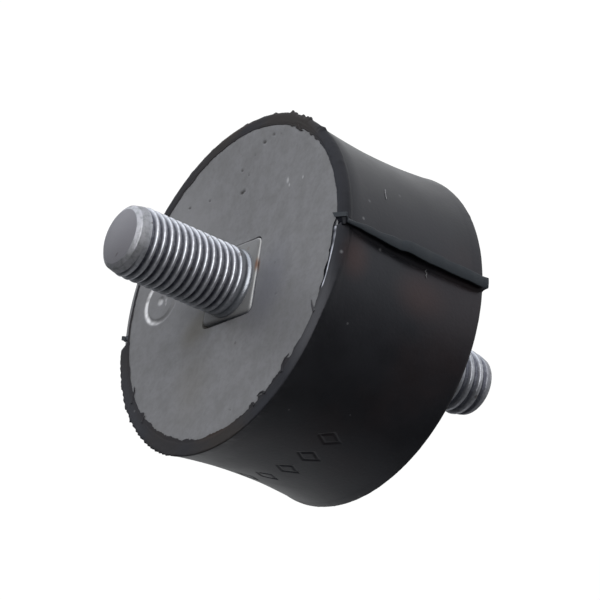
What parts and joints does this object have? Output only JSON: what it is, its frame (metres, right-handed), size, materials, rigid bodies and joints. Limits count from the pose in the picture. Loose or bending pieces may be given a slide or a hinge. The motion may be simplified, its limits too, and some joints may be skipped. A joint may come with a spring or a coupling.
{
  "type": "rubber engine mount",
  "caption": "Round rubber vibration mount, slightly waisted, with a recessed metal plate and a threaded stud at each end.",
  "frame": {"origin": "centre of the lower rubber rim's plane, on the axis of the studs", "axes": "+Z along the studs, from the lower stud, which stands out 22 mm, to the upper stud, which stands out 17.5 mm; +X through the parting flash of the mould"},
  "size_m": [0.0536, 0.05, 0.0645],
  "materials": {
    "rubber": "satin moulded rubber",
    "plate_metal": "dull zinc-plated sheet steel",
    "stud_metal": "bright zinc-plated steel"
  },
  "bodies": {
    "root": {"rubber_body": "rubber", "upper_plate": "plate_metal", "lower_plate": "plate_metal", "upper_stud": "stud_metal", "lower_stud": "stud_metal"}
  },
  "joints": []
}
